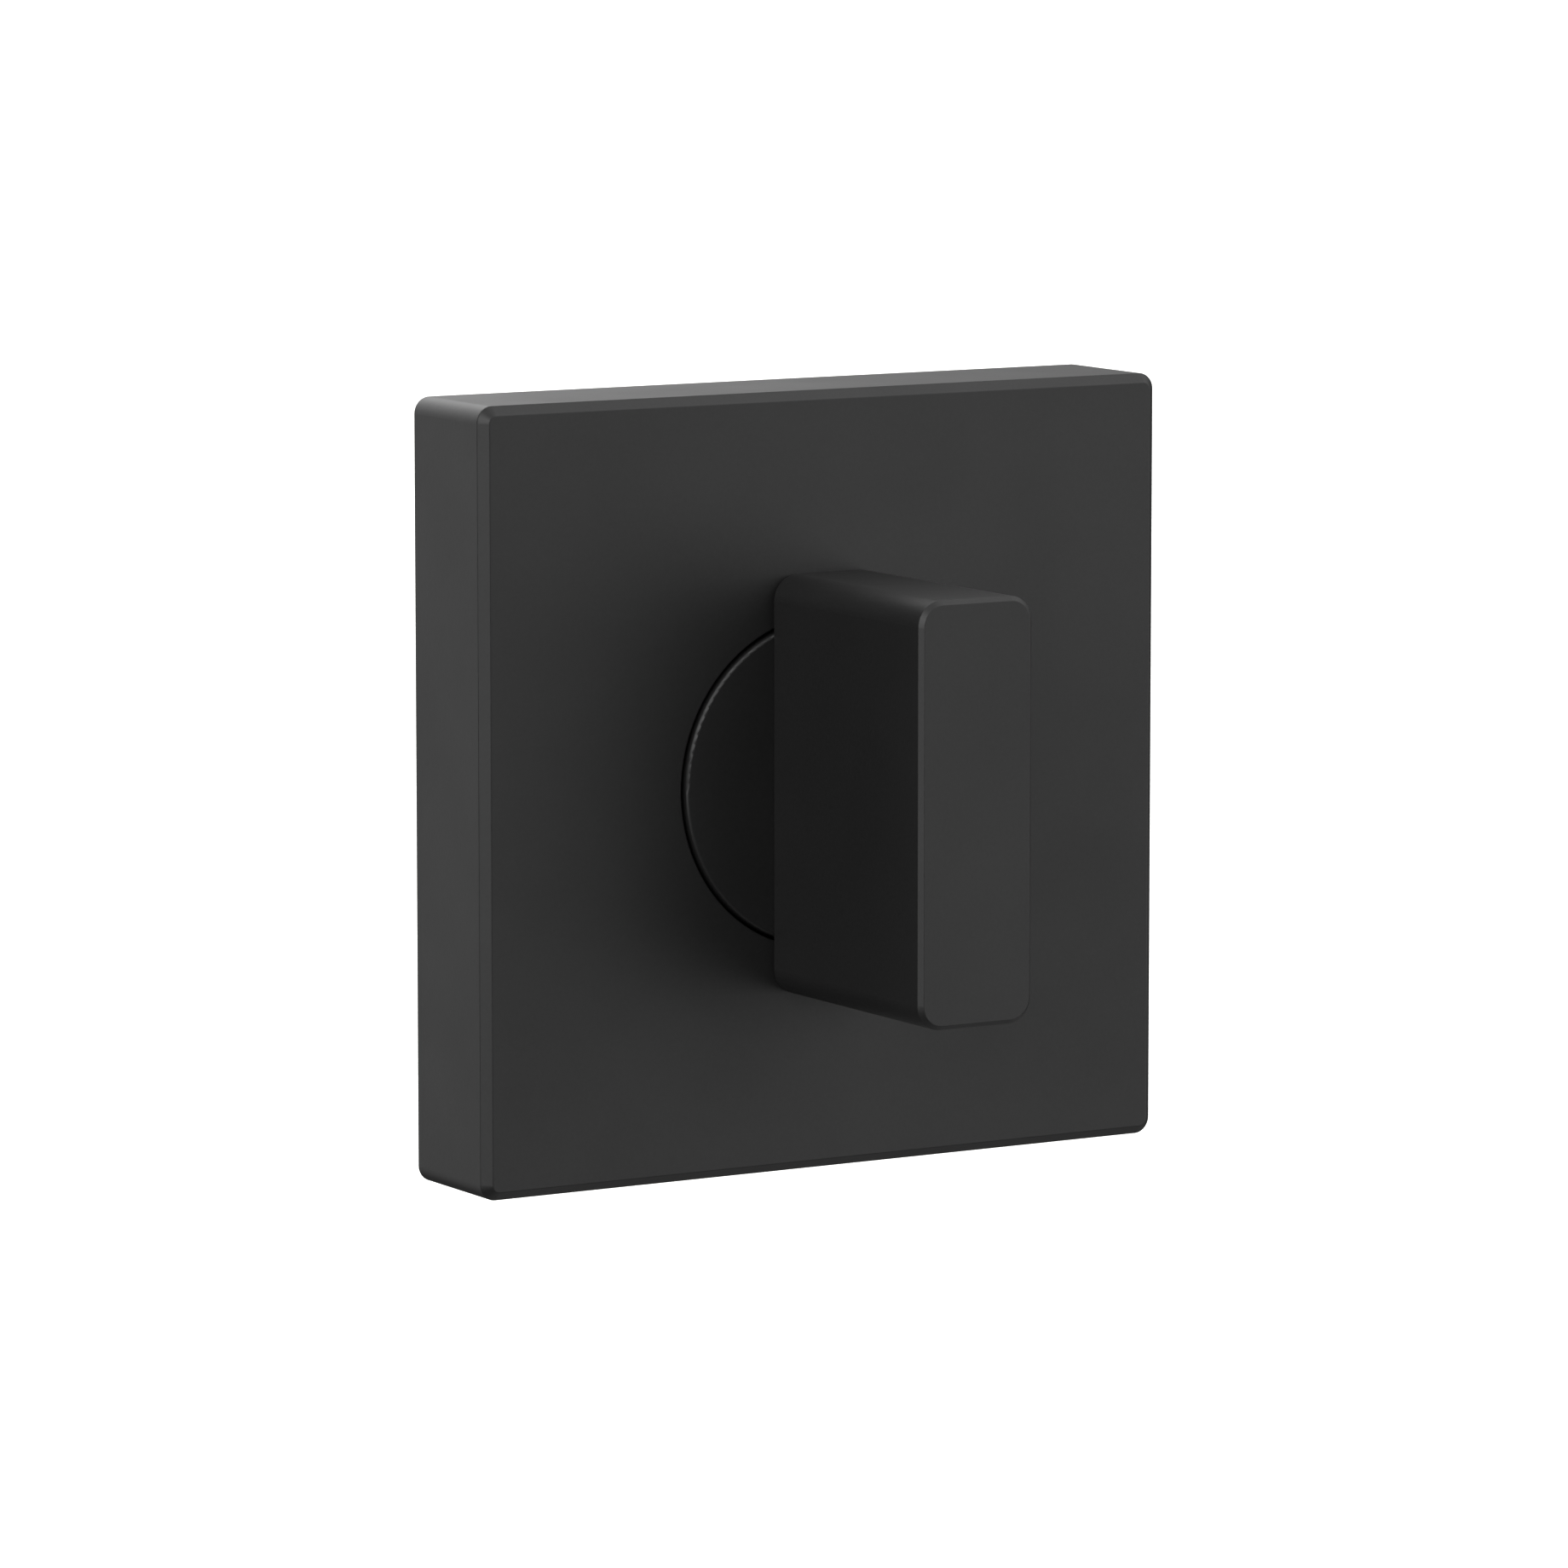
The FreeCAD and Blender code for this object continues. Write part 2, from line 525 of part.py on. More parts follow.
def stop_washer():
    """Steel washer with two flats inside that key it to the neck, and a tab that meets the stops."""
    rear = STOP_WASHER_Y + STOP_WASHER_THICKNESS
    tab = sector(TAB_RADIUS, STOP_WASHER_Y, rear, TAB_ANGLE - TAB_HALF_ANGLE, TAB_ANGLE + TAB_HALF_ANGLE)
    washer = rod(WASHER_RADIUS, STOP_WASHER_Y, rear).fuse(tab).removeSplitter()
    hole = rod(NECK_RADIUS + FLAT_PLAY, STOP_WASHER_Y, rear)
    half_flat = NECK_FLAT_X + FLAT_PLAY
    slab = block(-half_flat, half_flat, STOP_WASHER_Y, rear, -2 * NECK_RADIUS, 2 * NECK_RADIUS)
    return washer.cut(hole.common(slab))


def disc_spring():
    """Conical spring washer: its rim presses the stop washer, its inner edge rests on the circlip."""
    inner = NECK_RADIUS + WASHER_PLAY
    outer = inner + SPRING_BAND
    profile = [
        point(inner, SPRING_Y + SPRING_CONE, 0),
        point(outer, SPRING_Y, 0),
        point(outer, SPRING_Y + SPRING_SHEET, 0),
        point(inner, SPRING_Y + SPRING_CONE + SPRING_SHEET, 0),
    ]
    section = Part.Face(Part.makePolygon(profile + profile[:1]))
    return section.revolve(point(0, 0, 0), ALONG_Y, 360)


def circlip():
    """Open spring ring in the neck's groove, thickest opposite its gap, with two eared ends."""
    rear = CIRCLIP_Y + CIRCLIP_THICKNESS
    inner = NECK_RADIUS - GROOVE_DEPTH + SEAT_PLAY / 2
    clip = rod(inner + CIRCLIP_WIDTH - CIRCLIP_SHIFT, CIRCLIP_Y, rear, 0, CIRCLIP_SHIFT)
    ear_x = CIRCLIP_GAP / 2 + CIRCLIP_EAR_RADIUS
    ear_z = -(inner + CIRCLIP_EAR_RADIUS - CIRCLIP_SHIFT)
    for side in (-1, 1):
        clip = clip.fuse(rod(CIRCLIP_EAR_RADIUS, CIRCLIP_Y, rear, side * ear_x, ear_z))
    clip = clip.cut(rod(inner, CIRCLIP_Y, rear))
    half_gap = CIRCLIP_GAP / 2
    clip = clip.cut(block(-half_gap, half_gap, CIRCLIP_Y, rear, -2 * inner, 0))
    for side in (-1, 1):
        clip = clip.cut(rod(CIRCLIP_EAR_HOLE, CIRCLIP_Y, rear, side * ear_x, ear_z))
    return clip.removeSplitter()


def spindle():
    """Square bar that turns the follower of the lock."""
    half = SPINDLE_SIDE / 2
    end = SPINDLE_Y + SPINDLE_LENGTH
    bar = block(-half, half, SPINDLE_Y, end, -half, half)
    bar = bar.makeChamfer(SPINDLE_END_CHAMFER, edges_at(bar, end))
    bar = bar.makeFillet(SPINDLE_CORNER, [e for e in edges_along_y(bar) if e.Length > SPINDLE_LENGTH / 2])
    return bar.cut(Part.makeCylinder(PIN_RADIUS, 2 * SPINDLE_SIDE, point(-SPINDLE_SIDE, PIN_Y, 0), ALONG_X))


def spindle_pin():
    """Slotted spring pin through the neck's flats and the spindle."""
    reach = NECK_FLAT_X - WASHER_PLAY
    start = point(-reach, PIN_Y, 0)
    pin = Part.makeCylinder(PIN_RADIUS, 2 * reach, start, ALONG_X)
    pin = pin.cut(Part.makeCylinder(PIN_RADIUS - PIN_WALL, 2 * reach, start, ALONG_X))
    half_slot = PIN_SLOT / 2
    return pin.cut(block(-reach, reach, PIN_Y, PIN_Y + 2 * PIN_RADIUS, -half_slot, half_slot))


def nodes():
    """Every piece of the part by name."""
    pieces = {
        "rose_cover": rose_cover(),
        "base_plate": base_plate(),
        "support_sleeve_upper": support_sleeve(1),
        "support_sleeve_lower": support_sleeve(-1),
        "fixing_screws": fixing_screws(),
        "clip_rivets": clip_rivets(),
        "bearing_bush": bearing_bush(),
        "slide_washer": slide_washer(),
        "turn_grip": turn_grip(),
        "turn_collar": turn_collar(),
        "grip_screw": grip_screw(),
        "grip_dowels": grip_dowels(),
        "stop_washer": stop_washer(),
        "disc_spring": disc_spring(),
        "circlip": circlip(),
        "spindle": spindle(),
        "spindle_pin": spindle_pin(),
    }
    for name, side, middle in clip_places():
        pieces[name] = cover_clip(side, middle)
    return pieces


os.makedirs("parts", exist_ok=True)
for node, shape in nodes().items():
    if not shape.isValid():
        raise ValueError(f"{node} isn't a valid solid")
    shape.exportStep(f"parts/{node}.step")
    print(f"{node}: {len(shape.Solids)} solid(s), {shape.Volume:.1f} mm3")
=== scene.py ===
"""Looks of a matt black privacy turn on a square rose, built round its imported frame.

Everything is in metres in the frame's own axes: the door's face is the plane y = 0, the front of
the rose faces -Y and +Z is up. The pieces whose shape the frame already holds keep it and are
dressed here. The fixing screws are built anew, with their rolled threads and cross recesses.
"""

import logging
import math
from abc import ABC, abstractmethod
from dataclasses import dataclass, field
from enum import Enum

import bpy
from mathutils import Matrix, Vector


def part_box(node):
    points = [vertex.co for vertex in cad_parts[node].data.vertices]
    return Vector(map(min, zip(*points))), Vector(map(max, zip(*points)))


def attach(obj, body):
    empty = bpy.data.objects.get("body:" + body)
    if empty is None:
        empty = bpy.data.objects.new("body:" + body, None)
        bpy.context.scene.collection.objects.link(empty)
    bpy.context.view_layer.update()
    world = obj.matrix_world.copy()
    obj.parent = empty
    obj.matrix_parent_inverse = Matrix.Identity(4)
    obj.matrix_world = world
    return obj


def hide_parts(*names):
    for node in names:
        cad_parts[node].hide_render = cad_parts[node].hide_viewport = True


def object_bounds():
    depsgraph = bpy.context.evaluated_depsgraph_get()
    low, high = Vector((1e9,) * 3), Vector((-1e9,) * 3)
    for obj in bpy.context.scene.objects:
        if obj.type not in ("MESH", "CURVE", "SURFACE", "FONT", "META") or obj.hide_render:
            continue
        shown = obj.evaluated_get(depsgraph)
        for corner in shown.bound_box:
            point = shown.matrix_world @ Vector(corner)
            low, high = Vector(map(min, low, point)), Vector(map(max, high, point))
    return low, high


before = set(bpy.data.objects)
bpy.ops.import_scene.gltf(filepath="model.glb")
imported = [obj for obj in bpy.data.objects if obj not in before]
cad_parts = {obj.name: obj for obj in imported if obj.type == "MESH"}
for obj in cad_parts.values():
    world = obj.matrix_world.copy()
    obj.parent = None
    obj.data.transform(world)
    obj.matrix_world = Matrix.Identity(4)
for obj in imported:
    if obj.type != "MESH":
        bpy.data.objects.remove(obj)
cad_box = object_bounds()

logger = logging.getLogger("privacy_turn")

MM = 0.001

# points of a mesh that fall on the same point of a grid this fine are one point
WELD = 0.0002 * MM
# how far past a wing's edge, in radians, a step round a screw's axis still counts as on the wing
ANGLE_SLACK = 1e-6
RIGHT_ANGLE = math.pi / 2

# a Mix node has several sockets of each name, so the ones that mix colours go by number
MIX_SHARE, MIX_FIRST, MIX_SECOND, MIX_RESULT = 0, 6, 7, 2
# the values between which most of a noise pattern lies
NOISE_LOW, NOISE_HIGH = 0.3, 0.7

Socket = bpy.types.NodeSocket
Setting = float | int | bool | str | tuple[float, ...]
Place = tuple[float, float, float]


class Body(Enum):
    """The two bodies of the frame."""

    ROSE = "rose"
    TURN = "turn"


class Height(Enum):
    """Where sleeves, clips and fixing screws come on the plate, up and down."""

    UPPER = "upper"
    LOWER = "lower"


class Side(Enum):
    """Where clips come on the plate, across."""

    LEFT = "left"
    RIGHT = "right"


class Slot(Enum):
    """The material slots that the part's record names."""

    BLACK_COAT = "black_coat"
    ZINC_PLATED_STEEL = "zinc_plated_steel"
    SCREW_STEEL = "screw_steel"
    SPRING_STEEL = "spring_steel"
    RIVET_ALUMINIUM = "rivet_aluminium"
    BRIGHT_STEEL = "bright_steel"
    ACETAL = "acetal"


def linear(hex_colour: str) -> tuple[float, float, float, float]:
    """Turns an sRGB hex colour to the linear colour that shaders take.

    Args:
        hex_colour: six hex digits after a hash, such as "#101010".

    Returns:
        Red, green and blue in linear light, and an alpha of one.
    """
    channels = []
    for start in (1, 3, 5):
        value = int(hex_colour[start : start + 2], 16) / 255
        channels.append(value / 12.92 if value <= 0.04045 else ((value + 0.055) / 1.055) ** 2.4)
    return (*channels, 1.0)


def add_node(
    tree: bpy.types.NodeTree,
    kind: str,
    settings: dict[str | int, Setting] | None = None,
    links: dict[str | int, Socket] | None = None,
) -> bpy.types.Node:
    """Adds one node with its settings and the links that come into it.

    Args:
        tree: the node tree that the node goes into.
        kind: Blender's type name of the node.
        settings: the value of each property or input, by name, or by index for an input.
        links: the output that feeds each input, by the input's name or index.

    Returns:
        The new node.
    """
    node = tree.nodes.new(kind)
    for key, value in (settings or {}).items():
        if isinstance(key, str) and hasattr(node, key):
            setattr(node, key, value)
        else:
            node.inputs[key].default_value = value
    for key, source in (links or {}).items():
        tree.links.new(source, node.inputs[key])
    return node


@dataclass(frozen=True)
class Pattern:
    """An irregular pattern of a real size, which lies in a piece's own axes.

    Its size is the distance from mark to mark, and its stretch is how many times longer the marks
    are along X, Y and Z.
    """

    size_mm: float
    detail: float = 2.0
    stretch: tuple[float, float, float] = (1.0, 1.0, 1.0)

    def laid(self, tree: bpy.types.NodeTree, place: Socket) -> Socket:
        """Lays the pattern over a surface.

        Args:
            tree: the material's node tree.
            place: the socket that gives the place on the piece, in metres.

        Returns:
            The socket of the pattern's height, from 0 to 1.
        """
        scale = tuple(1.0 / (self.size_mm * MM * longer) for longer in self.stretch)
        sized = add_node(tree, "ShaderNodeMapping", {"Scale": scale}, {"Vector": place})
        settings = {"Scale": 1.0, "Detail": self.detail}
        noise = add_node(tree, "ShaderNodeTexNoise", settings, {"Vector": sized.outputs["Vector"]})
        return noise.outputs["Fac"]


@dataclass(frozen=True)
class Relief:
    """A pattern that stands out of a surface by a real depth."""

    pattern: Pattern
    depth_mm: float


@dataclass(frozen=True)
class Finish:
    """A real material with its surface treatment, of which each finish gives its own values."""

    name: str
    colour: str
    second_colour: str
    colour_pattern: Pattern
    roughness: tuple[float, float]
    roughness_pattern: Pattern
    reliefs: tuple[Relief, ...] = ()
    metallic: float = 0.0
    ior: float | None = None

    def material(self) -> bpy.types.Material:
        """Makes the finish's material.

        Returns:
            A new material.
        """
        made = bpy.data.materials.new(self.name)
        made.use_nodes = True
        tree = made.node_tree
        tree.nodes.clear()
        place = add_node(tree, "ShaderNodeTexCoord").outputs["Object"]
        mixed = add_node(
            tree,
            "ShaderNodeMix",
            {
                "data_type": "RGBA",
                MIX_FIRST: linear(self.colour),
                MIX_SECOND: linear(self.second_colour),
            },
            {MIX_SHARE: self.colour_pattern.laid(tree, place)},
        )
        low, high = self.roughness
        rough = add_node(
            tree,
            "ShaderNodeMapRange",
            {"From Min": NOISE_LOW, "From Max": NOISE_HIGH, "To Min": low, "To Max": high},
            {"Value": self.roughness_pattern.laid(tree, place)},
        )
        shader = add_node(
            tree,
            "ShaderNodeBsdfPrincipled",
            {"Metallic": self.metallic},
            {"Base Color": mixed.outputs[MIX_RESULT], "Roughness": rough.outputs["Result"]},
        )
        if self.ior is not None:
            shader.inputs["IOR"].default_value = self.ior
        surface = None
        for relief in self.reliefs:
            links = {"Height": relief.pattern.laid(tree, place)}
            if surface is not None:
                links["Normal"] = surface
            bump = add_node(tree, "ShaderNodeBump", {"Distance": relief.depth_mm * MM}, links)
            surface = bump.outputs["Normal"]
        if surface is not None:
            tree.links.new(surface, shader.inputs["Normal"])
        add_node(tree, "ShaderNodeOutputMaterial", links={"Surface": shader.outputs["BSDF"]})
        self.finish_off(shader)
        return made

    def finish_off(self, shader: bpy.types.Node) -> None:
        """Sets what only this finish has; most have nothing."""


@dataclass(frozen=True)
class PowderCoatedZinc(Finish):
    """Fine-textured matt black powder coat, baked on die-cast zinc.

    The baked grains give the eye a dark, even surface with a broad satin sheen that grows at a flat
    angle, a faint orange peel and a grit that is felt more than it is seen.
    """

    name: str = "powder_coated_zinc"
    colour: str = "#131313"
    second_colour: str = "#1b1b1b"
    # the real grit is about 0.08 mm across, drawn coarser so that it shows
    colour_pattern: Pattern = Pattern(0.24)
    roughness: tuple[float, float] = (0.46, 0.52)
    roughness_pattern: Pattern = Pattern(9.0, detail=3.0)
    # the orange peel, and the grit on it
    reliefs: tuple[Relief, ...] = (
        Relief(Pattern(1.1, detail=1.0), 0.004),
        Relief(Pattern(0.24), 0.004),
    )
    ior: float | None = 1.46


@dataclass(frozen=True)
class ZincPlatedSteel(Finish):
    """Cold-rolled steel sheet, punched and zinc plated with a clear passivation.

    The plating gives a soft, slightly blue grey with cloudy patches, over the fine parallel lines
    that the rolls left in the sheet.
    """

    name: str = "zinc_plated_steel"
    colour: str = "#b3b7bb"
    second_colour: str = "#9a9fa5"
    colour_pattern: Pattern = Pattern(4.0, detail=4.0)
    roughness: tuple[float, float] = (0.26, 0.44)
    roughness_pattern: Pattern = Pattern(5.0, detail=4.0)
    # rolling lines are about 0.05 mm apart, drawn coarser so that they show
    reliefs: tuple[Relief, ...] = (
        Relief(Pattern(0.25, detail=3.0, stretch=(1.0, 1.0, 40.0)), 0.0015),
    )
    metallic: float = 1.0


@dataclass(frozen=True)
class TumbledZincScrewSteel(Finish):
    """Cold-headed screw steel, zinc plated in a barrel.

    The screws knock on each other in the barrel, so they are an even light grey with soft dents.
    """

    name: str = "tumbled_zinc_screw_steel"
    colour: str = "#a6a8aa"
    second_colour: str = "#8b8d90"
    colour_pattern: Pattern = Pattern(1.5, detail=3.0)
    roughness: tuple[float, float] = (0.26, 0.34)
    roughness_pattern: Pattern = Pattern(2.0)
    reliefs: tuple[Relief, ...] = (Relief(Pattern(0.5, detail=3.0), 0.002),)
    metallic: float = 1.0


@dataclass(frozen=True)
class TumbledAluminium(Finish):
    """Soft aluminium rivets, headed cold and tumbled bright.

    They are the whitest metal of the part, with a soft gleam that small dents break up.
    """

    name: str = "tumbled_aluminium"
    colour: str = "#c6c7c9"
    second_colour: str = "#adaeb1"
    colour_pattern: Pattern = Pattern(0.8, detail=3.0)
    roughness: tuple[float, float] = (0.34, 0.42)
    roughness_pattern: Pattern = Pattern(1.0)
    reliefs: tuple[Relief, ...] = (Relief(Pattern(0.4, detail=3.0), 0.003),)
    metallic: float = 1.0


@dataclass(frozen=True)
class OilHardenedSpringSteel(Finish):
    """Spring steel, hardened in oil and left with its heat-blackened skin.

    The skin is a dark brown-grey with blotches, and keeps some of the metal's gleam.
    """

    name: str = "oil_hardened_spring_steel"
    colour: str = "#3a3633"
    second_colour: str = "#57514a"
    colour_pattern: Pattern = Pattern(1.6, detail=5.0)
    roughness: tuple[float, float] = (0.30, 0.42)
    roughness_pattern: Pattern = Pattern(1.2, detail=3.0)
    reliefs: tuple[Relief, ...] = (Relief(Pattern(0.3, detail=3.0), 0.001),)
    metallic: float = 1.0


# a drawn bar's scores are hundredths of a millimetre wide, made coarser here so that they show
DRAWN_SCORES = Pattern(0.35, detail=4.0, stretch=(1.0, 50.0, 1.0))


@dataclass(frozen=True)
class BrightDrawnSteel(Finish):
    """Steel bar drawn cold through a die.

    The die leaves long fine scores along the bar, so its gleam breaks up into streaks.
    """

    name: str = "bright_drawn_steel"
    colour: str = "#a9a8a5"
    second_colour: str = "#8d8c89"
    colour_pattern: Pattern = DRAWN_SCORES
    roughness: tuple[float, float] = (0.20, 0.38)
    roughness_pattern: Pattern = DRAWN_SCORES
    reliefs: tuple[Relief, ...] = (Relief(DRAWN_SCORES, 0.002),)
    metallic: float = 1.0


@dataclass(frozen=True)
class MouldedAcetal(Finish):
    """Acetal moulded in its natural white.

    It is a waxy, slightly see-through white with the soft shine of an eroded moulding tool.
    """

    name: str = "moulded_acetal"
    colour: str = "#e6e3da"
    second_colour: str = "#dedad0"
    colour_pattern: Pattern = Pattern(3.0)
    roughness: tuple[float, float] = (0.38, 0.46)
    roughness_pattern: Pattern = Pattern(1.0)
    reliefs: tuple[Relief, ...] = (Relief(Pattern(0.15), 0.002),)
    ior: float | None = 1.48
    light_let_in: float = 0.3
    light_depth_mm: float = 0.6

    def finish_off(self, shader: bpy.types.Node) -> None:
        """Lets light a little way into the plastic."""
        shader.inputs["Subsurface Weight"].default_value = self.light_let_in
        shader.inputs["Subsurface Scale"].default_value = self.light_depth_mm * MM


@dataclass(frozen=True)
class StudioPaper(Finish):
    """The roll of matt white paper that the studio's floor is laid with.

    It is an even white with the faint tooth of uncoated paper.
    """

    name: str = "studio_paper"
    colour: str = "#f8f8f6"
    second_colour: str = "#f5f5f3"
    colour_pattern: Pattern = Pattern(6.0)
    roughness: tuple[float, float] = (0.86, 0.92)
    roughness_pattern: Pattern = Pattern(3.0)
    reliefs: tuple[Relief, ...] = (Relief(Pattern(0.8), 0.01),)
    ior: float | None = 1.45
    lit_from_below: float = 0.45

    def finish_off(self, shader: bpy.types.Node) -> None:
        """Lights the paper from below, like a light table, so that it is white to the camera."""
        shader.inputs["Emission Color"].default_value = linear(self.colour)
        shader.inputs["Emission Strength"].default_value = self.lit_from_below


@dataclass
class Paintshop:
    """One material for each slot, shared by the pieces that have it."""

    materials: dict[Slot, bpy.types.Material] = field(default_factory=dict)

    def open(self) -> None:
        """Makes every slot's material."""
        finishes = {
            Slot.BLACK_COAT: PowderCoatedZinc(),
            Slot.ZINC_PLATED_STEEL: ZincPlatedSteel(),
            Slot.SCREW_STEEL: TumbledZincScrewSteel(),
            Slot.SPRING_STEEL: OilHardenedSpringSteel(),
            Slot.RIVET_ALUMINIUM: TumbledAluminium(),
            Slot.BRIGHT_STEEL: BrightDrawnSteel(),
            Slot.ACETAL: MouldedAcetal(),
        }
        for slot, finish in finishes.items():
            self.materials[slot] = finish.material()
            logger.info("mixed %s", finish.name)

    def dress(self, slot: Slot, *nodes: str) -> None:
        """Gives pieces of the frame their finish.

        Args:
            slot: the slot whose material they take.
            nodes: their names in the frame.
        """
        for node in nodes:
            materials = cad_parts[node].data.materials
            materials.clear()
            materials.append(self.materials[slot])
            logger.info("dressed %s", node)


@dataclass
class SubAssembly(ABC):
    """Pieces that come off the bench together."""

    paintshop: Paintshop

    @abstractmethod
    def build(self) -> None:
        """Builds and dresses the pieces."""


@dataclass
class Rose(SubAssembly):
    """The square cover, the plate that it clips on, and the bearing in the cover's boss."""

    def build(self) -> None:
        """Dresses the rose's pieces, whose shapes the frame holds."""
        sleeves = [f"support_sleeve_{height.value}" for height in Height]
        clips = [f"cover_clip_{side.value}_{height.value}" for side in Side for height in Height]
        self.paintshop.dress(Slot.BLACK_COAT, "rose_cover")
        self.paintshop.dress(Slot.ZINC_PLATED_STEEL, "base_plate", *sleeves)
        self.paintshop.dress(Slot.SPRING_STEEL, *clips)
        self.paintshop.dress(Slot.RIVET_ALUMINIUM, "clip_rivets")
        self.paintshop.dress(Slot.ACETAL, "bearing_bush", "slide_washer")


@dataclass
class ThumbTurn(SubAssembly):
    """The grip on its collar, what keeps the collar in the rose, and the spindle."""

    def build(self) -> None:
        """Dresses the turn's pieces, whose shapes the frame holds."""
        self.paintshop.dress(Slot.BLACK_COAT, "turn_grip", "turn_collar")
        self.paintshop.dress(Slot.SCREW_STEEL, "grip_screw")
        self.paintshop.dress(Slot.BRIGHT_STEEL, "grip_dowels", "spindle")
        self.paintshop.dress(Slot.ZINC_PLATED_STEEL, "stop_washer")
        self.paintshop.dress(Slot.SPRING_STEEL, "disc_spring", "circlip", "spindle_pin")


@dataclass
class MeshDraft:
    """A mesh under construction, in which points at one place are one point."""

    points: list[Place] = field(default_factory=list)
    faces: list[tuple[int, ...]] = field(default_factory=list)
    known: dict[tuple[int, ...], int] = field(default_factory=dict)

    def point(self, place: Place) -> int:
        """Adds a point, or finds the one that is there already.

        Args:
            place: where the point is.

        Returns:
            The point's number.
        """
        key = tuple(round(value / WELD) for value in place)
        if key not in self.known:
            self.known[key] = len(self.points)
            self.points.append(place)
        return self.known[key]

    def face(self, *corners: int) -> None:
        """Adds a face without its repeated corners, unless fewer than three are left.

        Args:
            corners: the numbers of its points, in order round it.
        """
        kept = [corner for index, corner in enumerate(corners) if corner != corners[index - 1]]
        if len(kept) > 2:
            self.faces.append(tuple(kept))

    def skin(self, rings: list[list[int]]) -> None:
        """Joins each ring of points to the next with four-sided faces.

        Args:
            rings: the numbers of each ring's points, the same count in every ring.
        """
        for before, after in zip(rings, rings[1:]):
            for step in range(len(before)):
                here, there = step - 1, step
                self.face(before[here], before[there], after[there], after[here])

    def mesh(self, name: str, sharp_from: float) -> bpy.types.Mesh:
        """Makes the mesh.

        Args:
            name: its name.
            sharp_from: the angle between two faces from which their edge is sharp.

        Returns:
            The mesh, shaded smooth between its sharp edges.
        """
        made = bpy.data.meshes.new(name)
        made.from_pydata(self.points, [], self.faces)
        made.shade_smooth()
        made.set_sharp_from_angle(angle=sharp_from)
        return made


